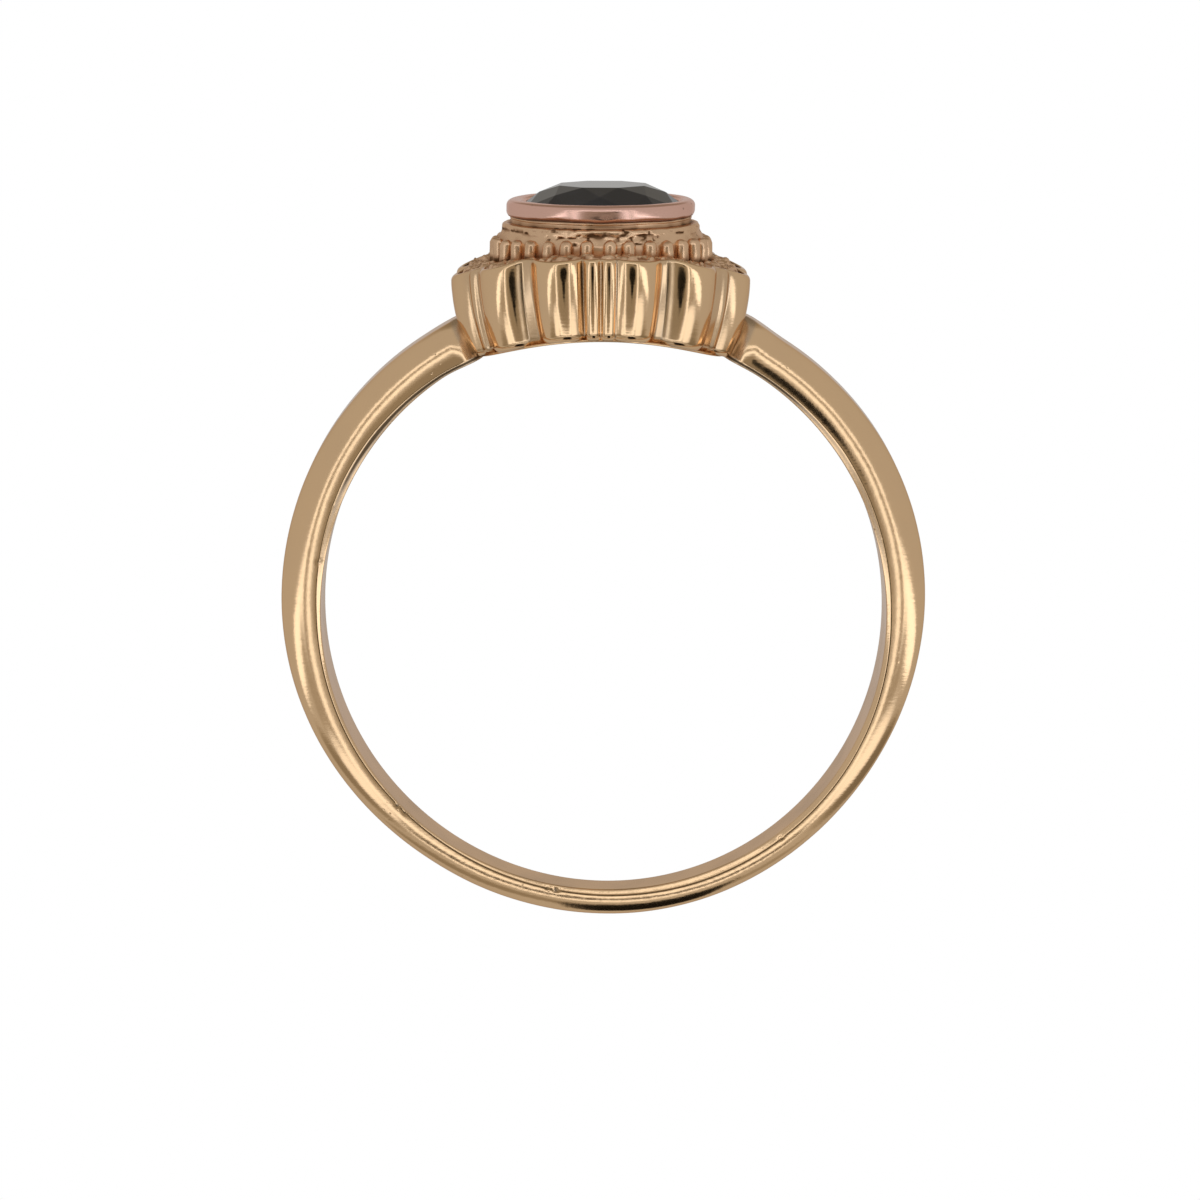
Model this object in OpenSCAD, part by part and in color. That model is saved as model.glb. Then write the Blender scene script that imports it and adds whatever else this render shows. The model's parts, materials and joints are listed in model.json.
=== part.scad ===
// A yellow gold ring with a round sapphire. The band carries a fluted cup, and the cup a deck, a row of
// grains, a collar and a neck. All of that is soldered into one solid. The rose gold bezel and the stone are
// pieces of their own.
// Every shape is drawn upright first: x across the finger, y along it away from the viewer, z up to the
// stone, with the middle of the finger hole at the origin. laid_down() then lays the ring on its side.

/* [Finger hole] */
// Diameter of the finger hole
bore_d = 17.3; // [15:0.1:21]

/* [Band] */
// Width along the finger, at the bottom
band_bottom_w = 1.45; // [1.2:0.05:2]
// Width along the finger, at the sides
band_side_w = 2.4; // [2:0.05:3]
// Width along the finger, at the shoulders
band_shoulder_w = 2.75; // [2:0.05:3.2]
// Thickness at the bottom
band_bottom_t = 0.93; // [0.8:0.01:1.2]
// Thickness at the shoulders
band_shoulder_t = 1.37; // [1.2:0.01:1.7]
// Bevel of the inner edges, at the bottom and the sides
band_edge = 0.1; // [0.06:0.01:0.15]
// Bevel of the inner edges, at the shoulders
band_shoulder_edge = 0.24; // [0.1:0.01:0.3]

/* [Fluted cup] */
// Radius of the lobes' crests at the widest height
cup_crest_r = 4.56; // [4.3:0.02:4.8]
// Radius of the grooves between the lobes, at the same height
cup_groove_r = 3.95; // [3.8:0.01:4.05]
// Height of the rim over the wall of the finger hole
cup_h = 2.5; // [2.2:0.05:2.8]
// Radius at the foot as a share of the widest radius
cup_foot_share = 0.87; // [0.82:0.01:0.92]
// Thickness of the cup's lip
cup_lip = 0.2; // [0.15:0.01:0.25]
// Thickness of the base plate that shows under the lobes
base_plate_t = 0.08; // [0.07:0.01:0.12]
// Radius of the base plate
base_plate_r = 3.7; // [3.5:0.02:3.8]
// Shift of the head across the finger
head_x = -0.08; // [-0.1:0.01:0.1]

/* [Deck and grains] */
// Height of the deck at its inner edge, over the middle of the finger hole
deck_z = 11.1; // [11:0.02:11.2]
// Height of the leaf-shaped lumps over the deck, one in each lobe
leaf_h = 0.12; // [0.06:0.01:0.15]
// Number of grains in the row
grain_count = 32; // [28:1:34]
// Radius of a grain
grain_r = 0.21; // [0.15:0.01:0.22]
// Radius of the circle that the grains stand on
grain_circle_r = 3.15; // [3.05:0.01:3.2]

/* [Collar and neck] */
// Radius of the collar
collar_r = 2.97; // [2.9:0.01:3]
// Height of the collar's upper edge
collar_z = 11.86; // [11.8:0.01:11.95]
// Radius of the neck
neck_r = 2.72; // [2.65:0.01:2.75]

/* [Bezel] */
// Outer radius of the bezel
bezel_r = 2.83; // [2.8:0.01:2.95]
// Height of the bezel's lower edge
bezel_z = 12.13; // [12.1:0.01:12.2]
// Height of the bezel from its lower edge to its crest
bezel_h = 0.43; // [0.42:0.01:0.5]
// Radius of the bezel's opening
bezel_open_r = 2.31; // [2.25:0.01:2.34]

/* [Stone] */
// Diameter of the stone
stone_d = 4.8; // [4.7:0.01:4.82]
// Diameter of the table
table_d = 2.74; // [2.4:0.02:3]
// Height of the table over the girdle
crown_h = 0.6; // [0.5:0.01:0.7]
// Depth of the pavilion under the girdle
pavilion_h = 1.75; // [1.5:0.05:1.9]
// Gap between the stone and its seat, and between the bezel and the neck
piece_gap = 0.04; // [0.03:0.01:0.06]

/* [Hidden] */
$fn = 96;

bore_r = bore_d / 2;
cut = 0.25;

// Sections of the band, in degrees from the bottom
band_end = 158;
band_step = 4;
band_sides = 12;
band_power = 2.25;
width_knee = 95;
thick_from = 27;
thick_to = 142;
edge_from = 85;
edge_to = 120;
edge_slope = 0.8;

// Edges of the lobes, in degrees from the front; two narrow pleats close the seam at the front
lobe_edges = [-180, -150, -122, -94, -64, -32, -7, 0, 6.5, 28, 59, 90, 120, 150, 180];
pleat_w = 10;
pleat_depth = 0.22;
pleat_inset = 0.12;
lobe_steps = 8;
barrel_power = 1.6;
widest_h = cup_h - 0.15;
rear_lobe = len(lobe_edges) - 2;

// Heights over the finger hole and shares of the radius, from the rim down to the foot
cup_levels = [
    // [height, share of the radius]
    [cup_h, 0.99],
    [widest_h, 1],
    [1.7, 1],
    [1, 1],
    [0.3, 1],
    [0.18, 0.98],
    [0.11, 0.94],
    [base_plate_t - 0.02, 0.89],
];

// The deck is a shallow saddle
recess_h = 0.3;
recess_in = 0.02;
deck_bend_r = 14;
deck_inner_r = 3.4;
leaf_share = 0.55;

// The tower on the deck: heights over the middle of the finger hole
tower_foot_z = 10.2;
grain_bend_r = 34;
grain_z = 11.37;
grain_foot_z = 10.4;
grain_arc = 5;
grain_first = 4.3;
step_r = grain_circle_r - 0.04;
flare_z = 11.4;
collar_low_z = 11.6;
collar_round = 0.1;
neck_top_z = bezel_z - piece_gap;

// The stone's girdle sits inside the bezel, on a ledge of the neck
girdle_z = bezel_z + 0.22;
girdle_t = 0.06;
stone_r = stone_d / 2;
table_r = table_d / 2;
table_z = girdle_z + girdle_t / 2 + crown_h;
kite_share = 0.55;
lower_share = 0.25;
ledge_r = stone_r - piece_gap;
ledge_top_z = girdle_z - girdle_t / 2 - 3 * piece_gap;
bezel_in_r = stone_r + piece_gap;
bezel_lip_z = girdle_z + 0.125;
bezel_round_h = 0.2;
bezel_low_r = 0.12;
bezel_low_z = 0.1;
well_r = 0.5;

function ease(u) = let (c = min(1, max(0, u))) c * c * (3 - 2 * c);
function mix(a, b, u) = a + (b - a) * u;
function power(v, p) = sign(v) * pow(abs(v), p);

// Width, thickness and bevel of the band at an angle from the bottom
function band_w(a) = a < width_knee
    ? mix(band_bottom_w, band_side_w, ease(a / width_knee))
    : mix(band_side_w, band_shoulder_w, ease((a - width_knee) / (band_end - width_knee)));
function band_t(a) = mix(band_bottom_t, band_shoulder_t, ease((a - thick_from) / (thick_to - thick_from)));
function band_e(a) = mix(band_edge, band_shoulder_edge, ease((a - edge_from) / (edge_to - edge_from)));

// Outline of one section: [place along the finger, distance from the finger's axis]
function band_outer(w, t, e) = [
    for (k = [0 : band_sides])
        let (v = 180 * k / band_sides)
        [w / 2 * power(cos(v), 2 / band_power), bore_r + e + (t - e) * power(sin(v), 2 / band_power)]
];
function band_foot(w, e) = w / 2 - edge_slope * (e + cut);
function band_section(w, t, e) = concat(
    band_outer(w, t, e),
    [[-band_foot(w, e), bore_r - cut], [band_foot(w, e), bore_r - cut]]
);
function around(a, p) = [p[1] * sin(a), p[0], -p[1] * cos(a)];

// A closed skin over rings of points, with a flat end on the first and the last ring
function skin_faces(rings, n) = concat(
    [[for (j = [n - 1 : -1 : 0]) j]],
    [
        for (i = [0 : rings - 2], j = [0 : n - 1])
            let (k = (j + 1) % n)
            [i * n + j, i * n + k, (i + 1) * n + k, (i + 1) * n + j]
    ],
    [[for (j = [0 : n - 1]) (rings - 1) * n + j]]
);

module band() {
    sections = [
        for (a = [-band_end : band_step : band_end])
            [for (p = band_section(band_w(abs(a)), band_t(abs(a)), band_e(abs(a)))) around(a, p)]
    ];
    points = [for (s = sections, p = s) p];
    polyhedron(points = points, faces = skin_faces(len(sections), len(sections[0])), convexity = 10);
}

// A lobe is an arc whose middle lies on the lobe's own direction
function lobe_half(i) = (lobe_edges[i + 1] - lobe_edges[i]) / 2;
function lobe_mid(i) = (lobe_edges[i + 1] + lobe_edges[i]) / 2;
function is_pleat(i) = 2 * lobe_half(i) < pleat_w;
function lobe_groove(i) = is_pleat(i) ? cup_crest_r - pleat_depth - pleat_inset : cup_groove_r;
function lobe_crest(i) = is_pleat(i) ? cup_crest_r - pleat_inset : cup_crest_r;
function arc_mid(i) =
    (pow(lobe_crest(i), 2) - pow(lobe_groove(i), 2))
    / (2 * (lobe_crest(i) - lobe_groove(i) * cos(lobe_half(i))));
function arc_r(i) = lobe_crest(i) - arc_mid(i);
function lobe_r(i, off) =
    arc_mid(i) * cos(off) + sqrt(max(0, pow(arc_r(i), 2) - pow(arc_mid(i) * sin(off), 2)));

// Outline of the cup: [direction, radius, swell of the leaf behind it]
cup_outline = [
    for (i = [0 : len(lobe_edges) - 2])
        let (n = is_pleat(i) ? lobe_steps / 2 : lobe_steps)
        for (k = [0 : n - 1])
            let (off = lobe_half(i) * (2 * k / n - 1))
            [lobe_mid(i) + off, lobe_r(i, off), is_pleat(i) ? 0 : 1 - pow(off / lobe_half(i), 2)]
];
function barrel(h) =
    1 - (1 - cup_foot_share) * pow(max(0, widest_h - h) / widest_h, barrel_power);
function over_bore(x, y, h) = [x, y, sqrt(pow(bore_r + h, 2) - x * x)];
function deck_at(x) = deck_z - x * x / (2 * deck_bend_r);

module cup() {
    wall = [
        for (level = cup_levels)
            let (share = level[1] * barrel(max(0, level[0])))
            [
                for (o = cup_outline)
                    over_bore(share * o[1] * sin(o[0]), -share * o[1] * cos(o[0]), level[0])
            ]
    ];
    lip = [
        for (o = cup_outline)
            let (r = o[1] - cup_lip)
            over_bore(r * sin(o[0]), -r * cos(o[0]), cup_h)
    ];
    recess = [
        for (o = cup_outline)
            let (r = o[1] - cup_lip - recess_in)
            over_bore(r * sin(o[0]), -r * cos(o[0]), cup_h - recess_h)
    ];
    inner = [
        for (o = cup_outline)
            [deck_inner_r * sin(o[0]), -deck_inner_r * cos(o[0]), deck_at(deck_inner_r * sin(o[0]))]
    ];
    leaf = [
        for (o = cup_outline)
            let (r = mix(deck_inner_r, o[1] - cup_lip, leaf_share))
            [r * sin(o[0]), -r * cos(o[0]), deck_at(r * sin(o[0])) + leaf_h * o[2]]
    ];
    middle = [for (o = cup_outline) [well_r * sin(o[0]), -well_r * cos(o[0]), deck_z]];
    foot = [
        for (h = [base_plate_t, -cut])
            [
                for (o = cup_outline)
                    over_bore(base_plate_r * sin(o[0]), -base_plate_r * cos(o[0]), h)
            ]
    ];
    rings = concat([middle, inner, leaf, recess, lip], wall, foot);
    points = [for (r = rings, p = r) p];
    polyhedron(points = points, faces = skin_faces(len(rings), len(cup_outline)), convexity = 10);
}

module grains() {
    for (i = [0 : grain_count - 1]) {
        a = grain_first + 360 * i / grain_count;
        x = grain_circle_r * sin(a);
        y = -grain_circle_r * cos(a);
        z = grain_z - x * x / (2 * grain_bend_r);
        translate([x, y, 0])
            rotate_extrude($fn = 16)
                polygon(concat(
                    [[0, grain_foot_z], [grain_r, grain_foot_z]],
                    [
                        for (k = [0 : grain_arc])
                            let (v = 90 * k / grain_arc)
                            [k == grain_arc ? 0 : grain_r * cos(v), z + grain_r * sin(v)]
                    ]
                ));
    }
}

module tower() {
    rotate_extrude()
        polygon([
            [0, tower_foot_z],
            [step_r, tower_foot_z],
            [step_r, flare_z],
            [collar_r, collar_low_z],
            [collar_r, collar_z - collar_round],
            [collar_r - collar_round, collar_z],
            [neck_r, collar_z],
            [neck_r, neck_top_z],
            [ledge_r, neck_top_z],
            [ledge_r, ledge_top_z],
            [0, ledge_top_z],
        ]);
}

// The seat follows the stone's pavilion, a gap away
module seat() {
    deep_z = girdle_z - girdle_t / 2 - pavilion_h - 3 * piece_gap;
    rotate_extrude()
        polygon([
            [0, deep_z],
            [well_r, deep_z],
            [stone_r - 2 * piece_gap, ledge_top_z + piece_gap],
            [0, ledge_top_z + piece_gap],
        ]);
}

module mount_upright() {
    difference() {
        union() {
            band();
            translate([head_x, 0, 0]) {
                cup();
                grains();
                tower();
            }
        }
        rotate([90, 0, 0])
            cylinder(r = bore_r, h = 4 * cup_crest_r, center = true);
        translate([head_x, 0, 0])
            seat();
    }
}

// The bezel's section: a rounded wall whose lip closes over the girdle
function bezel_arc(from, to, n, r, z, rr, rz) = [
    for (k = [0 : n])
        let (v = mix(from, to, k / n))
        [r + rr * cos(v), z + rz * sin(v)]
];
module bezel_upright() {
    wall = (bezel_r - bezel_open_r) / 2;
    round_z = bezel_z + bezel_h - bezel_round_h;
    translate([head_x, 0, 0])
        rotate_extrude()
            polygon(concat(
                [[bezel_in_r, bezel_z]],
                bezel_arc(-60, 0, 3, bezel_r - bezel_low_r, bezel_z + bezel_low_z, bezel_low_r, bezel_low_z),
                bezel_arc(0, 150, 10, bezel_open_r + wall, round_z, wall, bezel_round_h),
                [[bezel_open_r, bezel_lip_z], [bezel_in_r, girdle_z + girdle_t]]
            ));
}

// A brilliant cut: table, stars, kites and halves over the girdle, mains and halves under it
function ring_of(n, first, r, z) = [
    for (k = [0 : n - 1])
        let (a = first + 360 * k / n)
        [r * cos(a), r * sin(a), z]
];
module stone_upright() {
    half = 180 / 8;
    girdle_top = girdle_z + girdle_t / 2;
    girdle_low = girdle_z - girdle_t / 2;
    kite_r = mix(table_r, stone_r, kite_share);
    kite_z = table_z - (kite_r * cos(half) - table_r) * (table_z - girdle_top) / (stone_r - table_r);
    lower_r = stone_r * lower_share;
    culet_z = girdle_low - pavilion_h;
    lower_z = culet_z + lower_r * cos(half) * pavilion_h / stone_r;
    points = concat(
        ring_of(8, 0, table_r, table_z),
        ring_of(8, half, kite_r, kite_z),
        ring_of(16, 0, stone_r, girdle_top),
        ring_of(16, 0, stone_r, girdle_low),
        ring_of(8, half, lower_r, lower_z),
        [[0, 0, culet_z]]
    );
    t = 0;
    k = 8;
    g = 16;
    l = 32;
    p = 48;
    culet = 56;
    faces = concat(
        [[for (i = [7 : -1 : 0]) t + i]],
        [for (i = [0 : 7]) [t + i, t + (i + 1) % 8, k + i]],
        [for (i = [0 : 7]) [t + i, k + i, g + 2 * i]],
        [for (i = [0 : 7]) [t + i, g + 2 * i, k + (i + 7) % 8]],
        [for (i = [0 : 7]) [k + i, g + 2 * i + 1, g + 2 * i]],
        [for (i = [0 : 7]) [k + i, g + (2 * i + 2) % 16, g + 2 * i + 1]],
        [for (i = [0 : 15]) [g + i, g + (i + 1) % 16, l + (i + 1) % 16, l + i]],
        [for (i = [0 : 7]) [l + 2 * i, l + 2 * i + 1, p + i]],
        [for (i = [0 : 7]) [l + 2 * i + 1, l + (2 * i + 2) % 16, p + i]],
        [for (i = [0 : 7]) [l + 2 * i, p + i, culet]],
        [for (i = [0 : 7]) [l + 2 * i, culet, p + (i + 7) % 8]]
    );
    translate([head_x, 0, 0])
        polyhedron(points = points, faces = faces);
}

// How the ring lies on its side: it rests on the two rear lobes and on the back of the band's bottom
rest_from = 0.8;
rest_step = 0.1;
rear_arc_y = arc_mid(rear_lobe) * cos(lobe_half(rear_lobe)) + arc_r(rear_lobe);
rear_arc_x = arc_mid(rear_lobe) * sin(lobe_half(rear_lobe));
cup_back = [
    for (h = [rest_from : rest_step : cup_h])
        [rear_arc_y * barrel(h), sqrt(pow(bore_r + h, 2) - pow(rear_arc_x * barrel(h), 2))]
];
band_back = [for (p = band_outer(band_w(0), band_t(0), band_e(0))) [p[0], -p[1]]];
function reach(points, tilt) = max([for (p = points) p[0] * cos(tilt) - p[1] * sin(tilt)]);
function rest_tilt(low, high, n) =
    let (mid = (low + high) / 2)
    n == 0 ? mid
    : reach(cup_back, mid) > reach(band_back, mid) ? rest_tilt(mid, high, n - 1)
    : rest_tilt(low, mid, n - 1);
tilt = rest_tilt(5, 20, 24);
lift = reach(band_back, tilt);
north = table_z * cos(tilt) + table_r * sin(tilt);
south = max([for (p = band_back) -p[1] * cos(tilt) - p[0] * sin(tilt)]);

module laid_down() {
    translate([0, -(north - south) / 2, lift])
        rotate([tilt - 90, 0, 0])
            children();
}

module ring_mount() {
    color("#c9a273")
        laid_down()
            mount_upright();
}

module bezel() {
    color("#d39a86")
        laid_down()
            bezel_upright();
}

module sapphire() {
    color("#1d2130")
        laid_down()
            stone_upright();
}

ring_mount();
bezel();
sapphire();
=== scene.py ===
"""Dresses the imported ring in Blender: smooth metal meshes, gold and stone finishes, studio and camera.

Sizes are in millimetres in the ring's own frame: x across the finger, y along it away from the viewer, z up
to the stone, with the origin in the middle of the finger hole. RingFrame turns them into the row frame in
metres.
"""
from __future__ import annotations

import itertools
import json
import logging
from dataclasses import dataclass
from enum import Enum
from math import asin, atan2, copysign, cos, degrees, pi, radians, sin

import bpy
import numpy as np
from mathutils import Matrix, Vector

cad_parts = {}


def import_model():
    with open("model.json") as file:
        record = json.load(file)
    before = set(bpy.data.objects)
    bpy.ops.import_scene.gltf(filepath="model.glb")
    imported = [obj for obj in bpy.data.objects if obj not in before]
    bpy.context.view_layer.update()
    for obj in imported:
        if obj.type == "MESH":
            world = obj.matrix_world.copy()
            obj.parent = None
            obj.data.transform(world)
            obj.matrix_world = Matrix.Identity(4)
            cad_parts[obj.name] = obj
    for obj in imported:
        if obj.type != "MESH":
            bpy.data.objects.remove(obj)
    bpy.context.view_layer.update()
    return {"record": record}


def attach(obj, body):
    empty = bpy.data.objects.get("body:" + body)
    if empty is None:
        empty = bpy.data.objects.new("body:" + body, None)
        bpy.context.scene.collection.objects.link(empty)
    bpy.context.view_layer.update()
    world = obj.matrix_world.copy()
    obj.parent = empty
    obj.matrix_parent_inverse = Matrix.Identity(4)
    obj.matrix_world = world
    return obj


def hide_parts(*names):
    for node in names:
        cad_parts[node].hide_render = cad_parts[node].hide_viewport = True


LOG = logging.getLogger("ring")
BODY = "root"
MM = 0.001

BORE_R = 8.65
HEAD_X = -0.08
GIRDLE_Z = 12.35

Object = bpy.types.Object
Material = bpy.types.Material
Socket = bpy.types.NodeSocket
Input = Socket | float
Array = np.ndarray
Value = float | Array
Point = tuple[float, float] | Array
Colour = tuple[float, float, float]


class Slot(Enum):
    """The record's material slots."""

    YELLOW = "yellow_gold"
    ROSE = "rose_gold"
    STONE = "sapphire"


# Frame and helpers


@dataclass(frozen=True)
class RingFrame:
    """How the ring's own frame lies in the row frame.

    Args:
        centre: middle of the finger hole in the row frame, in metres.
        tilt: angle in radians by which the ring leans from lying flat.
    """

    centre: tuple[float, float, float]
    tilt: float

    @classmethod
    def from_record(cls, record: dict) -> RingFrame:
        """Reads the frame from the record's finger bore mount.

        Args:
            record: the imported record.

        Returns:
            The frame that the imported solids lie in.
        """
        mount = next(m for m in record["mounts"] if m["name"] == "finger_bore")
        axis = mount["axis"]
        return cls(tuple(mount["pos_m"]), atan2(-axis[1], axis[2]))

    def axes(self) -> Array:
        """The ring's x, y and z directions as rows, in the row frame."""
        s, c = sin(self.tilt), cos(self.tilt)
        return np.array([[1, 0, 0], [0, s, -c], [0, c, s]], float)

    def to_row(self, points: Array) -> Array:
        """Turns millimetres in the ring's frame into metres in the row frame."""
        return np.asarray(points, float) @ self.axes() * MM + np.array(self.centre)

    def direction(self, v: tuple[float, float, float]) -> Vector:
        """Turns a direction in the ring's frame into one in the row frame."""
        return Vector(np.array(v, float) @ self.axes())


class LatticeNoise:
    """Smooth, repeatable noise between -1 and 1 at points in millimetres."""

    SIDE = 32

    def __init__(self, seed: int) -> None:
        """Draws the lattice's values from a seed."""
        self.table = np.random.default_rng(seed).uniform(-1, 1, (self.SIDE,) * 3)

    def __call__(self, points: Array, size: float) -> Array:
        """One layer of noise.

        Args:
            points: array of any shape whose last side holds x, y and z.
            size: width of one cell of the noise.

        Returns:
            One value for each point.
        """
        q = np.asarray(points, float) / size
        cell = np.floor(q).astype(int)
        u = ease(q - cell)
        total = np.zeros(q.shape[:-1])
        for corner in itertools.product((0, 1), repeat=3):
            weight = np.prod([u[..., i] if on else 1 - u[..., i] for i, on in enumerate(corner)], axis=0)
            place = tuple((cell[..., i] + on) % self.SIDE for i, on in enumerate(corner))
            total += weight * self.table[place]
        return total

    def layers(self, points: Array, *layers: tuple[float, float]) -> Array:
        """Sum of layers of noise, each given as its height and the width of its cells."""
        return sum(height * self(points, size) for height, size in layers)


def ease(u: Value) -> Value:
    """Smooth step from 0 to 1."""
    c = np.clip(u, 0, 1)
    return c * c * (3 - 2 * c)


def mix(a: Value, b: Value, u: Value) -> Value:
    """Value between a and b at share u."""
    return a + (b - a) * u


def bump(distance: Value, width: Value) -> Value:
    """Bell that is 1 at distance 0 and falls off over width."""
    return np.exp(-((distance / width) ** 2))


def around(r: Value, b: Array, z: Value, shift: float = 0.0) -> Array:
    """Points round the head at radius r and height z, in direction b in radians from the front."""
    return np.stack(np.broadcast_arrays(r * np.sin(b) + shift, -r * np.cos(b), z), -1)


def from_front(b: Array) -> Array:
    """Directions between 0 and a full turn in radians, as degrees between -180 and 180."""
    return np.degrees(b - 2 * pi * (b > pi))


def heading(turn: float) -> Array:
    """Unit vector of a direction in degrees from the front: across, and towards the front."""
    return np.array([sin(radians(turn)), cos(radians(turn))])


def grids(rows: list[tuple[Value, Value]], columns: int) -> list[Array]:
    """Two grids from rows of two values, each a number or one value for each column."""
    return [np.array([row[i] * np.ones(columns) for row in rows]) for i in (0, 1)]


@dataclass
class Patch:
    """A closed strip of points, each with how dark it is painted.

    Args:
        points: (rows, columns, 3), in the ring's frame; the last column joins the first.
        recess: (rows, columns), 1 where patina gathers, and where shade is painted in.
        flip: whether the faces are turned over.
    """

    points: Array
    recess: Array
    flip: bool = False

    def faces(self, first: int) -> Array:
        """The patch's quads.

        Args:
            first: number of the patch's first corner in the whole mesh.

        Returns:
            A row of four corner numbers for each quad.
        """
        rows, cols = self.recess.shape
        i, j = np.meshgrid(np.arange(rows - 1), np.arange(cols), indexing="ij")
        k = (j + 1) % cols
        quads = np.stack([i * cols + j, i * cols + k, (i + 1) * cols + k, (i + 1) * cols + j], -1)
        quads = quads.reshape(-1, 4)
        return (quads[:, ::-1] if self.flip else quads) + first


def add_object(name: str, data: bpy.types.ID) -> Object:
    """Adds an object to the scene.

    Args:
        name: its name.
        data: its mesh or camera.

    Returns:
        The new object.
    """
    obj = bpy.data.objects.new(name, data)
    bpy.context.scene.collection.objects.link(obj)
    return obj


def plain_mesh(name: str, verts: list[tuple], faces: list[tuple]) -> Object:
    """Adds an object with a plain mesh.

    Args:
        name: name of both.
        verts: its corners.
        faces: numbers of each face's corners.

    Returns:
        The new object.
    """
    mesh = bpy.data.meshes.new(name)
    mesh.from_pydata(verts, [], faces)
    mesh.validate()
    return add_object(name, mesh)


def dress(obj: Object, material: Material) -> None:
    """Gives an object one material."""
    obj.data.materials.clear()
    obj.data.materials.append(material)


# Metal pieces


class Piece:
    """A shown piece of metal. Each kind holds its sizes and makes the patches of its surface."""

    NAME = "piece"
    SLOT = Slot.YELLOW
    NODES = ("ring_mount",)

    def patches(self) -> list[Patch]:
        """The patches that make up its surface."""
        raise NotImplementedError

    def build(self, frame: RingFrame, material: Material) -> Object:
        """Makes the piece's object, dressed and riding on the body.

        Args:
            frame: how the ring lies.
            material: the piece's finish.

        Returns:
            The new object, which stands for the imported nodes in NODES.
        """
        points, recess, faces, first = [], [], [], 0
        for p in self.patches():
            points.append(p.points.reshape(-1, 3))
            recess.append(p.recess.reshape(-1))
            faces.append(p.faces(first))
            first += p.recess.size
        verts = frame.to_row(np.concatenate(points))
        quads = np.concatenate(faces)
        mesh = bpy.data.meshes.new(self.NAME)
        mesh.vertices.add(len(verts))
        mesh.vertices.foreach_set("co", verts.astype(np.float32).reshape(-1))
        mesh.loops.add(quads.size)
        mesh.loops.foreach_set("vertex_index", quads.reshape(-1).astype(np.int32))
        mesh.polygons.add(len(quads))
        mesh.polygons.foreach_set("loop_start", np.arange(0, quads.size, 4, dtype=np.int32))
        mesh.update(calc_edges=True)
        mesh.validate()
        mesh.polygons.foreach_set("use_smooth", np.ones(len(mesh.polygons), bool))
        layer = mesh.attributes.new("recess", "FLOAT", "POINT")
        layer.data.foreach_set("value", np.concatenate(recess).astype(np.float32))
        obj = add_object(self.NAME, mesh)
        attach(obj, BODY)
        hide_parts(*self.NODES)
        dress(obj, material)
        return obj


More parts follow.
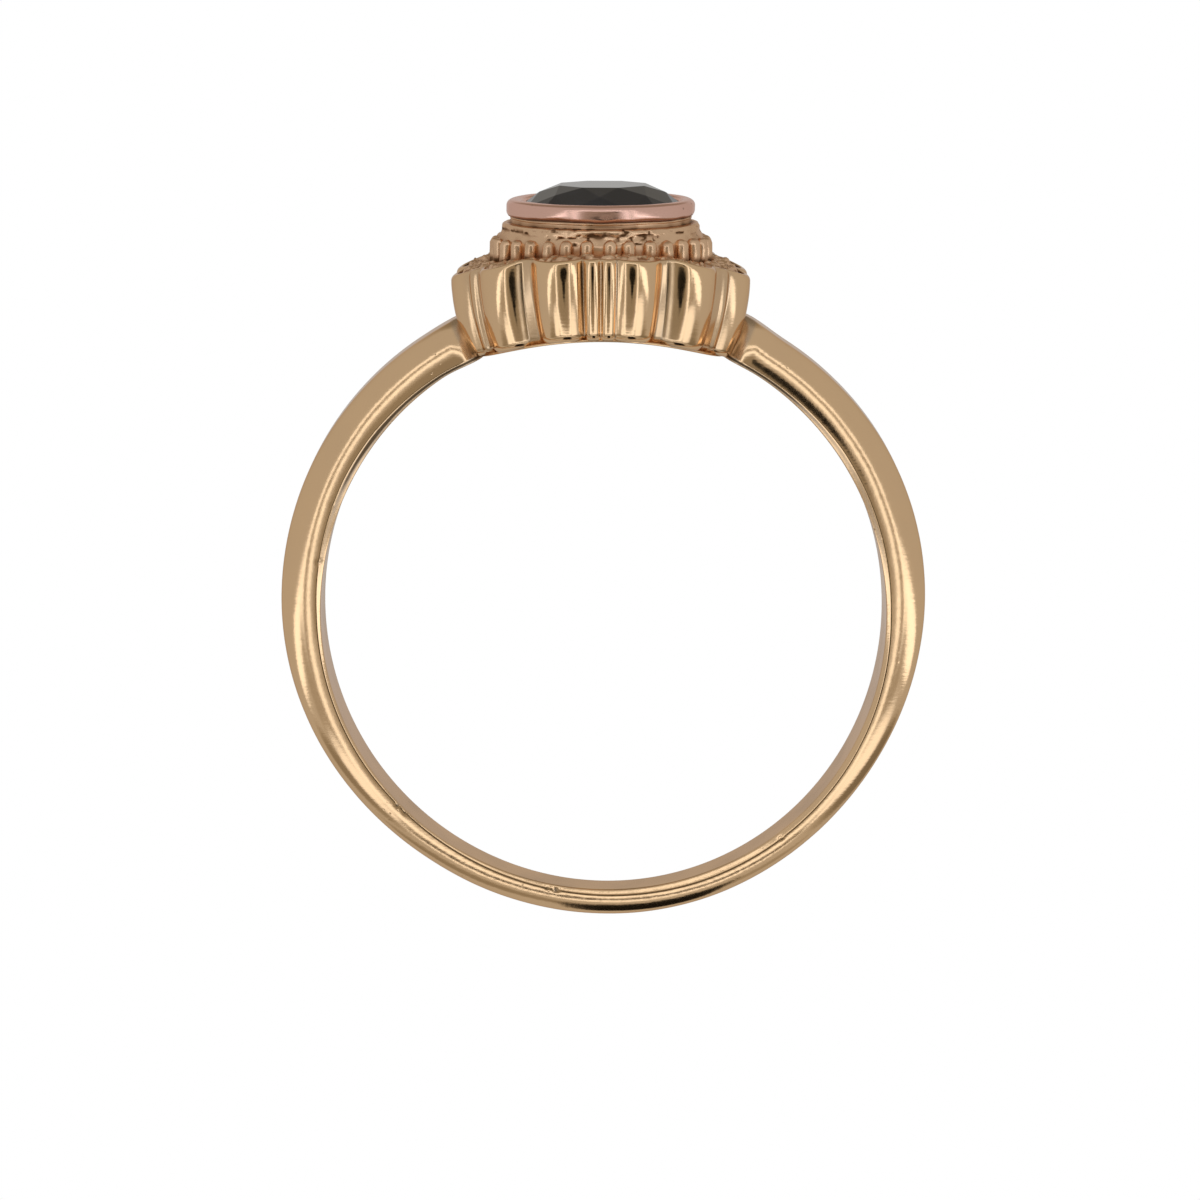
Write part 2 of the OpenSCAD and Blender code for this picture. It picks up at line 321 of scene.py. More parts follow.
@dataclass(frozen=True)
class Band(Piece):
    """The tapering band with its crisp inner edges and the rounded ends that meet the cup."""

    NAME = "band"

    cup: Cup
    bore_r: float = BORE_R
    bottom_w: float = 1.32
    side_w: float = 2.4
    shoulder_w: float = 2.75
    width_knee: float = 95.0
    width_end: float = 158.0
    bottom_t: float = 0.93
    shoulder_t: float = 1.37
    thick_from: float = 27.0
    thick_to: float = 142.0
    edge_slope: float = 0.55
    end: float = 159.0
    turn_from: float = 150.3
    turn_r: float = 0.9
    wave_end: float = 155.0
    wave_fade: float = 9.0
    wall_patina: float = 0.38
    shoulder_patina_and_shade: float = 0.65
    junction_darkening: float = 0.8
    steps: int = 760
    arc_steps: int = 34
    corner_steps: int = 6

    # angle from the bottom; the near face's slope at the inner edge and its roundness; the edge's rounding
    FACE = (
        (0, 0.24, 0.47, 0.05),
        (45, 0.2, 0.45, 0.04),
        (90, 0.15, 0.42, 0.025),
        (125, 0.09, 0.64, 0.02),
        (160, 0.09, 0.66, 0.02),
    )
    # angle from the bottom, negative to the left, and bevel of the inner edges
    EDGE = (
        (-148, 0.15), (-138, 0.2), (-128, 0.24), (-118, 0.24),
        (-108, 0.2), (-90, 0.11), (-60, 0.08), (-47, 0.06),
        (-20, 0.11), (0, 0.16), (20, 0.19), (60, 0.18),
        (90, 0.13), (110, 0.18), (125, 0.21), (148, 0.15),
    )
    # how far the hole and the outside are out of round: a constant, then cosines and sines of 1 to 4 turns
    HOLE_WAVES = (0.006, -0.018, 0.007, 0.067, 0.042, -0.01, 0.007, -0.004, 0.004)
    OUTER_WAVES = (-0.058, 0.008, -0.007, -0.002, 0.021, 0.037, 0.004, 0.01, 0.027)
    # angle from the bottom, half width in degrees, depth
    NICKS = (
        (-129.7, 0.25, 0.008), (-112.6, 0.2, 0.008),
        (-101.0, 0.2, 0.035), (-46.7, 0.35, 0.03),
        (-44.6, 0.3, 0.02), (-9.6, 0.5, 0.03),
        (-11.4, 0.3, 0.02), (38.0, 0.3, 0.02),
    )

    def width(self, a: Array) -> Array:
        """Width along the finger.

        Args:
            a: degrees from the bottom, without a sign.

        Returns:
            The width at each angle.
        """
        low = mix(self.bottom_w, self.side_w, ease(a / self.width_knee))
        past = (a - self.width_knee) / (self.width_end - self.width_knee)
        return np.where(a < self.width_knee, low, mix(self.side_w, self.shoulder_w, ease(past)))

    def thickness(self, a: Array) -> Array:
        """Thickness at angle a from the bottom."""
        share = (a - self.thick_from) / (self.thick_to - self.thick_from)
        return mix(self.bottom_t, self.shoulder_t, ease(share))

    def bevel(self, a: Array) -> Array:
        """Bevel of the inner edges at angle a from the bottom, negative to the left."""
        at, size = np.array(self.EDGE).T
        return np.interp(a, at, size)

    def waves(self, terms: tuple[float, ...], a: Array) -> Array:
        """Sum of the waves round the ring, fading towards the cup.

        Args:
            terms: a constant, then a cosine and a sine for 1 to 4 turns.
            a: degrees from the bottom.

        Returns:
            How far the surface lies outside its true circle.
        """
        t = np.radians(a)
        total = terms[0] + 0 * t
        for k in range(1, 5):
            total += terms[2 * k - 1] * np.cos(k * t) + terms[2 * k] * np.sin(k * t)
        return total * ease((self.wave_end - np.abs(a)) / self.wave_fade)

    def section(self, a: float) -> Array:
        """Closed outline of the band.

        Args:
            a: degrees from the bottom, negative to the left.

        Returns:
            Rows of [place along the finger, distance from the finger's axis].
        """
        b = abs(a)
        w, t = float(self.width(np.array(b))), float(self.thickness(np.array(b)))
        e = float(self.bevel(a))
        at, *values = np.array(self.FACE).T
        slope, roundness, c = (float(np.interp(b, at, v)) for v in values)
        rise = t - e
        v = np.linspace(asin(1.3 * c / rise), pi / 2, self.arc_steps)
        y = -w / 2 + rise * (slope * np.sin(v) + roundness * (1 - np.cos(v)))
        near = np.stack([y, self.bore_r + e + rise * np.sin(v)], 1)
        top = np.linspace(near[-1], near[-1] * [-1, 1], 8)[1:-1]
        foot = w / 2 - self.edge_slope * e
        brim = (-w / 2, self.bore_r + e)
        front = self.corner_points(brim, (-foot, self.bore_r), near[0], c)
        low = self.corner_points((-foot, self.bore_r), (foot, self.bore_r), brim, c)
        flat = np.linspace(low[0] * [-1, 1], low[0], 12)[1:-1]
        half = np.concatenate([low, np.linspace(low[-1], front[0], 6)[1:-1], front, near])
        return np.concatenate([half, top, half[::-1] * [-1, 1], flat])

    def corner_points(self, at: Point, before: Point, after: Point, cut: float) -> Array:
        """Rounds a corner of the outline.

        Args:
            at: the corner.
            before: its neighbour on one side.
            after: its neighbour on the other.
            cut: how far from the corner the rounding starts.

        Returns:
            The points of the rounding, from before to after.
        """
        at, before, after = (np.array(p, float) for p in (at, before, after))
        a = at + (before - at) / np.linalg.norm(before - at) * cut
        b = at + (after - at) / np.linalg.norm(after - at) * cut
        u = np.linspace(0, 1, self.corner_steps)[:, None]
        return (1 - u) ** 2 * a + 2 * u * (1 - u) * at + u**2 * b

    def patches(self) -> list[Patch]:
        """Makes the band's surface.

        Returns:
            One closed strip from end to end.
        """
        angles = np.linspace(-self.end, self.end, self.steps + 1)[:, None]
        b = np.abs(angles)
        outline = np.array([self.section(a) for a in angles[:, 0]])
        a = np.radians(angles) * np.ones(outline.shape[1])
        y, rho = outline[..., 0], outline[..., 1].copy()
        edge = self.bore_r + self.bevel(angles)
        near = bump(rho - edge, 0.07) * (y < 0)
        # the ends round off towards the cup and sink into its base plate
        run = np.radians(np.maximum(b - self.turn_from, 0)) * (self.bore_r + 0.75)
        run = np.minimum(run, 0.97 * self.turn_r)
        away = self.turn_r - np.sqrt(self.turn_r**2 - run**2)
        y = y * (1 - away / (self.width(b) / 2))
        share = np.clip((rho - self.bore_r) / self.thickness(b), 0, 1)
        bevelled = ease((edge - 0.012 - rho) / 0.02) * (share > 0.005)
        bevelled = bevelled * mix(0.4, 1.0, ease((0.85 - (edge - rho) / (edge - self.bore_r)) / 0.4))
        rho += mix(self.waves(self.HOLE_WAVES, angles), self.waves(self.OUTER_WAVES, angles), share)
        rho += np.where(share < 0.02, 0.03, 0) * ease((b - 154.5) / 3)
        points = np.stack([rho * np.sin(a), y, -rho * np.cos(a)], -1)
        out = np.stack([np.sin(a), 0 * a, -np.cos(a)], -1)
        side = y / (self.width(b) / 2)
        normal = out * (1 - np.abs(side) ** 2)[..., None] + side[..., None] * np.array([0, 1.0, 0])
        normal /= np.linalg.norm(normal, axis=-1, keepdims=True)
        wave = LatticeNoise(3).layers(points, (0.006, 2.6), (0.003, 1.1), (0.001, 0.45))
        points += normal * (wave * ease(share / 0.2))[..., None]
        # the hole's wall and the bevels keep some patina, most of it next to the cup
        recess = self.wall_patina * ease((0.03 - share) / 0.02)
        old = ease((b - np.where(angles < 0, 98, 124)) / np.where(angles < 0, 36, 24))
        darkening = 0.1 + 0.4 * ease((b - 88) / 16) + self.shoulder_patina_and_shade * old
        recess = np.maximum(recess, bevelled * darkening)
        for at, half, depth in self.NICKS:
            along = bump(angles - at, half) * near
            points += out * (along * depth)[..., None]
            points[..., 1] += along * depth
            recess = np.maximum(recess, along * min(1.0, depth / 0.04))
        # painted shade on the rounded ends, where the cup shades them
        ends = ease((b - 151.8) / 1.2) * (np.abs(side) > 0.2)
        recess = np.maximum(recess, self.shoulder_patina_and_shade * ends)
        # darker along the line where the band meets the cup
        recess = np.maximum(recess, self.junction_darkening * bump(self.cup.distance_outside(points), 0.03))
        return [Patch(points, recess)]


@dataclass(frozen=True)
class Lobe:
    """One lobe of the cup: an upright arc that bulges out of it, tighter where it faces the front.

    Args:
        turn: its direction in degrees from the front.
        reach: distance of the arc's middle from the head's axis.
        bulge: radius of the arc.
        valley: how widely its grooves are rounded.
        grime: share of patina in its grooves.
        front: radius of the arc where it faces the front, 0 for the same.
    """

    turn: float
    reach: float
    bulge: float
    valley: float = 0.4
    grime: float = 1.0
    front: float = 0.0

    TANGENT = 17.0

    @staticmethod
    def hit(d: Array, turn: float, reach: float, bulge: float) -> Array:
        """Where an arc is met from the head's axis.

        Args:
            d: directions in degrees from the front.
            turn: direction of the arc's middle.
            reach: its distance from the axis.
            bulge: radius of the arc.

        Returns:
            The distance in each direction, 0 where there is none.
        """
        off = np.radians((d - turn + 180) % 360 - 180)
        inside = bulge**2 - (reach * np.sin(off)) ** 2
        met = (inside > 0) & (np.abs(off) < pi / 2)
        return np.where(met, reach * np.cos(off) + np.sqrt(np.maximum(inside, 0)), 0.0)

    def distance(self, d: Array, size: Array) -> Array:
        """Distance of the lobe's outline from the head's axis.

        Args:
            d: directions in degrees from the front.
            size: share of the arcs' size in each of them.

        Returns:
            The distance in each direction, 0 where there is none.
        """
        main = self.hit(d, self.turn, self.reach, self.bulge * size)
        if not self.front:
            return main
        side = copysign(1.0, self.turn)
        normal = np.multiply.outer(size, heading(side * self.TANGENT))
        middle = self.reach * heading(self.turn)
        inner = middle + (self.bulge - self.front) * normal
        change = middle + self.bulge * normal
        turn = np.degrees(np.arctan2(inner[..., 0], inner[..., 1]))
        tight = self.hit(d, turn, np.hypot(inner[..., 0], inner[..., 1]), self.front * size)
        past = side * (d - np.degrees(np.arctan2(change[..., 0], change[..., 1]))) < 0
        return np.where(past & (np.abs(d) < 90), tight, main)


@dataclass(frozen=True)
class Cup(Piece):
    """The fluted cup on its base plate: lobes round a core.

    The outline, and the directions in which it is sampled, also serve the deck inside the cup.
    """

    NAME = "cup"
    LOBES = (
        Lobe(-165, 3.45, 1.11),
        Lobe(-136, 3.5, 1.06),
        Lobe(-108, 3.6, 0.96),
        Lobe(-78.6, 3.543, 1.017),
        Lobe(-66.2, 4, 0.25, 0.06, 0.5),
        Lobe(-46.4, 3.49, 1.07, front=0.72),
        Lobe(-17, 3.567, 0.993, front=0.73),
        Lobe(-3.5, 4.18, 0.26, 0.1),
        Lobe(3.2, 4.18, 0.26, 0.1),
        Lobe(13.2, 3.6, 0.96, front=0.68),
        Lobe(41.5, 3.42, 1.14, front=0.88),
        Lobe(63.6, 3.93, 0.27, 0.06, 0.5),
        Lobe(77.3, 3.531, 1.029),
        Lobe(105, 3.5, 1.06),
        Lobe(135, 3.45, 1.11),
        Lobe(165, 3.45, 1.11),
    )

    bore_r: float = BORE_R
    head_x: float = HEAD_X
    height: float = 2.5
    core_r: float = 4.12
    core_valley: float = 0.1
    core_grime: float = 0.85
    core_patina: float = 0.66
    groove_patina: float = 0.68
    inner_wall_shade: float = 0.8
    foot_darkening: float = 0.5
    foot_share: float = 0.88
    foot_bulge: float = 0.95
    barrel_power: float = 1.6
    widest: float = 2.35
    rim_step: float = 0.08
    rim_hump: float = 0.06
    lip: float = 0.2
    rim_round: float = 0.12
    inner_round: float = 0.06
    inner_rows: int = 8
    plate_t: float = 0.08
    plate_r: float = 3.7
    columns: int = 900
    plate_columns: int = 240
    far: float = 99.0

    def outline(self, direction: Array, size: Array | float = 1.0) -> tuple[Array, Array]:
        """The outline of the lobes.

        Args:
            direction: degrees from the front.
            size: share of the lobes' size.

        Returns:
            The radius, and how near each point is to the bottom of a groove, from 0 to 1.
        """
        d = np.asarray(direction, float)
        size = size + 0 * d
        reach = np.array([lobe.distance(d, size) for lobe in self.LOBES] + [self.core_r + 0 * size])
        order = np.argsort(reach, axis=0)
        first, second = order[-1], order[-2]
        r1, r2 = (np.take_along_axis(reach, o[None], 0)[0] for o in (first, second))
        core = (self.core_valley, self.core_grime)
        valley, grime = np.array([(lobe.valley, lobe.grime) for lobe in self.LOBES] + [core]).T
        k = np.minimum(valley[first], valley[second])
        near = np.maximum(k - (r1 - r2), 0) / k
        groove = bump(r1 - r2, 0.6 * k + 0.03) * np.minimum(grime[first], grime[second])
        groove = np.maximum(groove, self.core_patina * bump(np.maximum(r1 - self.core_r, 0), 0.3))
        return r1 + k * near**2 / 4, groove

    def directions(self) -> Array:
        """Directions in degrees in which the cup is sampled."""
        return np.linspace(-180, 180, self.columns, endpoint=False)

    def wall(self, direction: Array, h: Value) -> Array:
        """Radius of the wall, which narrows towards the foot.

        Args:
            direction: degrees from the front.
            h: height over the finger hole's wall.

        Returns:
            The radius in each direction.
        """
        low = (np.maximum(0, self.widest - h - 0 * direction) / self.widest) ** self.barrel_power
        outline = self.outline(direction, 1 - (1 - self.foot_bulge) * low)[0]
        return outline * (1 - (1 - self.foot_share) * low)

    def rise(self, x: Array) -> Array:
        """How much the rim at x rises over the finger hole's curve."""
        step = self.rim_step * ease((np.abs(x) - 1.3) / 1.2)
        return step + self.rim_hump * bump(np.abs(x) - 2.2, 0.5)

    def over_bore(self, r: Array, direction: Array, h: Array) -> Array:
        """Points over the finger hole's wall.

        Args:
            r: radius round the head's axis.
            direction: degrees from the front.
            h: height over the hole's wall.

        Returns:
            The points in the ring's frame.
        """
        b = np.radians(direction)
        x = r * np.sin(b)
        h = h + self.rise(x) * ease((h - 1.3) / 1.2)
        return around(r, b, np.sqrt((self.bore_r + h) ** 2 - x**2), self.head_x)

    def distance_outside(self, points: Array) -> Array:
        """How far points lie outside the cup's wall.

        Args:
            points: points in the ring's frame.

        Returns:
            The distances, negative inside the cup, and far in the ring's lower half.
        """
        x, y, z = points[..., 0] - self.head_x, points[..., 1], points[..., 2]
        h = np.hypot(x, z) - self.bore_r
        wall = self.wall(np.degrees(np.arctan2(x, -y)), np.clip(h, 0, self.height))
        return np.where(z > 0, np.hypot(x, y) - wall, self.far)

    def rows(self, dirs: Array, crest: Array) -> list[tuple[Array, float]]:
        """Rows of the wall, from the foot over the rim to the inner wall.

        Args:
            dirs: directions of the columns in degrees.
            crest: radius of the rim in each of them.

        Returns:
            For each row its radii and its height.
        """
        rows = []
        # the foot is rounded under the lobes
        for u in np.linspace(0, 1, 12):
            h = mix(self.plate_t - 0.02, 0.3, u)
            rows.append((self.wall(dirs, h) * (1 - 0.035 * (1 - u) ** 2.4), h))
        for h in np.linspace(0.34, self.height - self.rim_round, 46):
            rows.append((self.wall(dirs, h), h))
        for v in np.linspace(0, pi / 2, 10)[1:]:
            h = self.height - self.rim_round * (1 - sin(v))
            rows.append((crest - self.rim_round * (1 - cos(v)), h))
        for v in np.linspace(0, pi / 2, 6):
            h = self.height - self.inner_round * (1 - cos(v))
            rows.append((crest - self.lip + self.inner_round * (1 - sin(v)), h))
        for h in np.linspace(self.height - 0.1, self.height - 0.42, 5):
            rows.append((crest - self.lip - 0.01, h))
        return rows

    def patches(self) -> list[Patch]:
        """Makes the cup's surface.

        Returns:
            The wall with its rim and inner wall, and the base plate.
        """
        dirs = self.directions()
        crest, groove = self.outline(dirs)
        r, h = grids(self.rows(dirs, crest), len(dirs))
        points = self.over_bore(r, dirs, h)
        noise = LatticeNoise(11)
        wave = 0.012 * noise(points * [1, 1, 0.35], 1.3)
        wave = wave + noise.layers(points, (0.004, 0.6), (0.0012, 0.25))
        points = points + around(1.0, np.radians(dirs), 0.0) * wave[..., None]
        # painted shade on the inner wall under the rim
        inside = np.zeros(h.shape)
        inside[-self.inner_rows :] = self.inner_wall_shade
        # darker where the lobes meet the base plate
        low = self.foot_darkening * bump(h - self.plate_t, 0.05)
        recess = np.maximum.reduce([self.groove_patina * groove * np.ones(h.shape), inside, low])
        return [Patch(points, recess), self.plate()]

    def plate(self) -> Patch:
        """Makes the thin round plate under the lobes.

        Returns:
            The plate, with the finger hole's wall as its lower face.
        """
        dirs = np.linspace(-180, 180, self.plate_columns, endpoint=False)
        r0, t = self.plate_r, self.plate_t
        rows = [(r0 - 0.5, t), (r0 - 0.03, t), (r0 - 0.008, t - 0.01), (r0, t - 0.03)]
        rows += [(r0, 0.03), (r0 - 0.01, 0.008)]
        rows += [(r0 * s, 0.0) for s in (0.992, 0.97, 0.9, 0.75, 0.6, 0.45, 0.3, 0.15, 0.02)]
        r, h = grids(rows, len(dirs))
        points = self.over_bore(r, dirs, h)
        points[..., 2] += 0.004 * LatticeNoise(5)(points, 0.8) * (h > 0.01)
        return Patch(points, 0.35 * (h > 0.05), flip=True)


@dataclass(frozen=True)
class Deck(Piece):
    """The lumpy deck inside the cup: leaf-like lumps with dark pits, and a gap along the rim darkened with
    painted shade.
    """

    NAME = "deck"

    cup: Cup
    inner_r: float = 2.9
    flat_r: float = 3.36
    deck_z: float = 11.15
    bend_r: float = 11.6
    leaf_h: float = 0.02
    gap_depth: float = 0.3
    lobe_half: float = 14.0
    smallest_bulge: float = 0.5
    lump_from: float = 3.42
    lump_rim: float = 0.36
    lump_count: int = 34
    pit_count: int = 14
    pit_depth: float = 0.12
    rows: int = 46
    seed: int = 21

    def height(self, x: Array) -> Array:
        """Height of the plain deck over the finger's axis."""
        return self.deck_z - x**2 / (2 * self.bend_r)

    def place(self, rng: np.random.Generator, lobe: Lobe, share: float) -> tuple[float, float]:
        """Draws a place in a lobe.

        Args:
            rng: the random numbers.
            lobe: the lobe.
            share: share of its width that is used.

        Returns:
            The place's x and y.
        """
        at = radians(lobe.turn + self.lobe_half * rng.uniform(-share, share))
        dist = rng.uniform(self.lump_from, lobe.reach + lobe.bulge - self.lump_rim)
        return dist * sin(at), -dist * cos(at)

    def lumps(self, x: Array, y: Array) -> tuple[Array, Array]:
        """Random lumps and pits in the large lobes.

        Args:
            x: the deck's points across the finger.
            y: the same along it.

        Returns:
            Their height, and how deep in a pit each point is, from 0 to 1.
        """
        rng = np.random.default_rng(self.seed)
        height, pits = np.zeros(x.shape), np.zeros(x.shape)
        for lobe in self.cup.LOBES:
            if lobe.bulge < self.smallest_bulge:
                continue
            for _ in range(self.lump_count):
                px, py = self.place(rng, lobe, 0.95)
                size, tall = rng.uniform(0.08, 0.19), rng.uniform(0.04, 0.11)
                d = np.hypot(x - px, (y - py) * rng.uniform(0.75, 1.3))
                height = np.maximum(height, tall * np.maximum(0, 1 - (d / size) ** 2) ** 0.7)
            for _ in range(self.pit_count):
                px, py = self.place(rng, lobe, 0.9)
                pit = bump(np.hypot(x - px, y - py), rng.uniform(0.035, 0.07))
                height = height - self.pit_depth * pit
                pits = np.maximum(pits, pit)
        return height, pits

    def patches(self) -> list[Patch]:
        """Makes the deck's surface.

        Returns:
            One height field.
        """
        dirs = self.cup.directions()
        outline, groove = self.cup.outline(dirs)
        rim = outline - self.cup.lip + 0.02
        r = mix(self.inner_r, rim[None], np.linspace(0, 1, self.rows)[:, None])
        b = np.radians(dirs)[None]
        x, y = r * np.sin(b), -r * np.cos(b)
        flat = np.stack([x, y, 0 * x], -1)
        pocket = np.clip((r - self.flat_r) / (rim - self.flat_r), 0, 1)
        leaf = self.leaf_h * (1 - groove)[None] * np.sin(pi * np.clip(pocket / 0.85, 0, 1)) ** 0.8
        lumps, pits = self.lumps(x, y)
        noise = LatticeNoise(7)
        z = self.height(x) + leaf + lumps
        z = z + noise.layers(flat, (0.022, 0.24), (0.012, 0.11), (0.005, 0.05))
        rim_z = np.sqrt((self.cup.bore_r + self.cup.height) ** 2 - x**2) - self.gap_depth
        z = mix(z, np.minimum(z, rim_z), ease((pocket - 0.76) / 0.24))
        # painted shade along the rim and round the grains' feet; dark pits and random dirt; darker in the
        # hollows between lumps
        shade = bump(np.maximum(0, rim[None] - r), 0.09 + 0.14 * ease(noise(flat, 0.9) + 0.5))
        foot = bump(r - 3.38, 0.07)
        hollow = ease((0.035 - lumps) / 0.035) * ease((r - 3.3) / 0.1)
        darkening = 0.08 + 0.6 * noise(flat, 0.2)
        recess = np.maximum.reduce([pits, shade, 0.6 * foot, 0.6 * hollow, darkening])
        points = np.stack([x + self.cup.head_x, y, z], -1)
        return [Patch(points, np.clip(recess, 0, 1), flip=True)]


@dataclass(frozen=True)
class Grains(Piece):
    """The row of small worn grains round the foot of the collar."""

    NAME = "grains"

    head_x: float = HEAD_X
    count: int = 32
    grain_r: float = 0.21
    circle_r: float = 3.15
    top_z: float = 11.37
    foot_z: float = 10.45
    bend_r: float = 34.0
    deck_z: float = 11.1
    deck_bend_r: float = 14.0
    first: float = 4.3
    sides: int = 20
    seed: int = 4

    def patches(self) -> list[Patch]:
        """Makes the grains' surfaces.

        Returns:
            One patch for each grain.
        """
        rng = np.random.default_rng(self.seed)
        noise = LatticeNoise(9)
        patches = []
        spin = np.linspace(0, 2 * pi, self.sides, endpoint=False)
        lat = np.concatenate([np.zeros(6), np.linspace(0, pi / 2, 10)[1:]])
        for i in range(self.count):
            a = radians(self.first + 360 * i / self.count + rng.uniform(-0.7, 0.7))
            size = self.grain_r * rng.uniform(0.93, 1.05)
            x, y = self.circle_r * sin(a), -self.circle_r * cos(a)
            top = self.top_z - x**2 / (2 * self.bend_r) + rng.uniform(-0.02, 0.02)
            z = np.concatenate([np.linspace(self.foot_z, top, 7)[:-1], top + size * np.sin(lat[6:])])
            r = size * np.cos(lat)
            r[:3] *= [1.12, 1.05, 1.01]
            z, r = z[:, None] + 0 * spin, r[:, None]
            points = np.stack([x + r * np.cos(spin), y + r * np.sin(spin), z], -1)
            away = points - np.array([x, y, top])
            away /= np.maximum(1e-6, np.linalg.norm(away, axis=-1, keepdims=True))
            points += away * noise.layers(points, (0.02, 0.16), (0.009, 0.07))[..., None]
            points[..., 0] += self.head_x
            deck = self.deck_z - x**2 / (2 * self.deck_bend_r)
            # painted shade darkens each grain towards the deck; the rest is random dirt
            recess = 0.75 * ease((deck + 0.22 - z) / 0.2) + 0.2 + 0.35 * noise(points, 0.14)
            patches.append(Patch(points, np.clip(recess, 0, 1)))
        return patches


@dataclass(frozen=True)
class Collar(Piece):
    """The worn collar and the narrow neck under the bezel."""

    NAME = "collar"

    head_x: float = HEAD_X
    steps: int = 420

    # radius, height, darkening: patina, and painted shade under the bezel
    PROFILE = (
        (3.02, 10.5, 0.6), (3.08, 10.8, 0.7), (3.1, 11.1, 0.7),
        (3.11, 11.3, 0.55), (3.1, 11.4, 0.45), (3.05, 11.5, 0.3),
        (2.985, 11.6, 0.2), (2.97, 11.66, 0.15), (2.972, 11.72, 0.1),
        (2.965, 11.78, 0.05), (2.945, 11.82, 0.0), (2.91, 11.85, 0.05),
        (2.86, 11.86, 0.2), (2.78, 11.862, 0.5), (2.735, 11.87, 0.8),
        (2.722, 11.9, 0.7), (2.72, 11.98, 0.45), (2.735, 12.0, 0.2),
        (2.74, 12.02, 0.3), (2.725, 12.05, 0.5), (2.71, 12.08, 0.6),
        (2.69, 12.1, 0.8), (2.3, 12.1, 1.0),
    )

    def patches(self) -> list[Patch]:
        """Makes the collar's and the neck's surface.

        Returns:
            One turned form with its wear.
        """
        table = np.array(self.PROFILE)
        fine = np.linspace(0, len(table) - 1, 4 * len(table))
        r, z, darkening = (np.interp(fine, np.arange(len(table)), column)[:, None] for column in table.T)
        b = np.linspace(0, 2 * pi, self.steps, endpoint=False)[None]
        noise = LatticeNoise(13)
        base = around(r, b, z)
        worn = noise.layers(base, (0.016, 0.5), (0.008, 0.2), (0.003, 0.09))
        band = ease((z - 11.35) / 0.1) * ease((11.9 - z) / 0.06)
        pits = ease((noise(base * [1, 1, 1.6], 0.13) - 0.34) / 0.25) * band
        pits = pits * ease((noise(base, 0.9) + 0.35) / 0.5)
        streaks = noise(base * [1, 1, 2.5] + 7, 0.24) + 0.3 * noise(base, 0.08)
        stain = ease(streaks / 0.45) * bump(z - 11.71, 0.09)
        dent = bump(from_front(b) + 1.5, 3.6) * bump(z - 11.68, 0.1)
        push = worn * (0.4 + 1.3 * band) - 0.03 * pits - 0.02 * dent - 0.012 * stain
        points = around(r + push, b, z + 0.006 * noise(base + 40, 0.4), self.head_x)
        recess = darkening + 0.9 * pits + 0.9 * dent + 0.85 * stain + 0.2 * noise(base, 0.25)
        return [Patch(points, np.clip(recess, 0, 1))]


@dataclass(frozen=True)
class Bezel(Piece):
    """The thick rose gold bezel, rubbed over the stone by hand and worn uneven."""

    NAME = "bezel_rim"
    SLOT = Slot.ROSE
    NODES = ("bezel",)

    head_x: float = HEAD_X
    outer_r: float = 2.83
    open_r: float = 2.31
    open_shift: float = 0.04
    low_z: float = 12.13
    height: float = 0.43
    girdle_z: float = GIRDLE_Z
    inner_r: float = 2.44
    neck_r: float = 2.745
    low_round: float = 0.09
    top_round: float = 0.2
    steps: int = 360

    def profile(self) -> Array:
        """Outline of the bezel's wall.

        Returns:
            Rows of [radius, height], from the stone's girdle round the outside and back to it.
        """
        low_z, girdle_z, inner_r, neck_r = self.low_z, self.girdle_z, self.inner_r, self.neck_r
        rows = [(inner_r, girdle_z - 0.12), (inner_r, low_z + 0.03), (inner_r + 0.03, low_z)]
        rows += [(r, low_z) for r in np.linspace(inner_r + 0.06, neck_r - 0.03, 7)]
        rows += [(neck_r, low_z - 0.01), (neck_r + 0.012, low_z - 0.045), (neck_r + 0.03, low_z - 0.06)]
        for a in np.radians(np.linspace(-80, 0, 9)[:-1]):
            r = self.outer_r - self.low_round + self.low_round * cos(a)
            rows.append((r, low_z + self.low_round + 0.15 * sin(a)))
        wall = (self.outer_r - self.open_r) / 2
        for a in np.radians(np.linspace(0, 165, 30)):
            z = low_z + self.height - self.top_round + self.top_round * sin(a) ** 0.9
            rows.append((self.open_r + wall + wall * cos(a), z))
        rows += [(self.open_r - 0.005, girdle_z + 0.12), (self.open_r + 0.02, girdle_z + 0.07)]
        rows += [(inner_r - 0.02, girdle_z + 0.035), (inner_r, girdle_z), (inner_r, girdle_z - 0.06)]
        return np.array(rows)

    def patches(self) -> list[Patch]:
        """Makes the bezel's surface.

        Returns:
            One closed wall.
        """
        r, z = self.profile().T[:, :, None]
        b = np.linspace(0, 2 * pi, self.steps, endpoint=False)[None]
        noise = LatticeNoise(17)
        base = around(r, b, z)
        lower = ease((self.low_z + 0.22 - z) / 0.2) * ease((r - 2.5) / 0.2)
        wavy = noise.layers(around(2.6, b, 0.0), (0.03, 1.1), (0.018, 0.45))
        zz = z + lower * wavy + 0.006 * noise(base, 0.7) * (1 - lower)
        rr = r + noise.layers(base, (0.014, 1.2), (0.005, 0.4)) * ease((r - 2.35) / 0.1)
        crease = bump(from_front(b) - 3.5, 4.0) * bump(z - (self.low_z + self.low_round), 0.03) * (r > 2.6)
        points = around(rr - 0.03 * crease, b, zz, self.head_x)
        points[..., 0] += self.open_shift * ease((2.75 - r) / 0.35)
        # painted shade on the underside; darker also in the crease and on the lip against the stone
        under = 0.7 * ease((self.low_z + 0.03 - z) / 0.06)
        recess = np.clip(crease + 0.7 * ease((2.33 - r) / 0.04) + under, 0, 1)
        return [Patch(points, recess)]


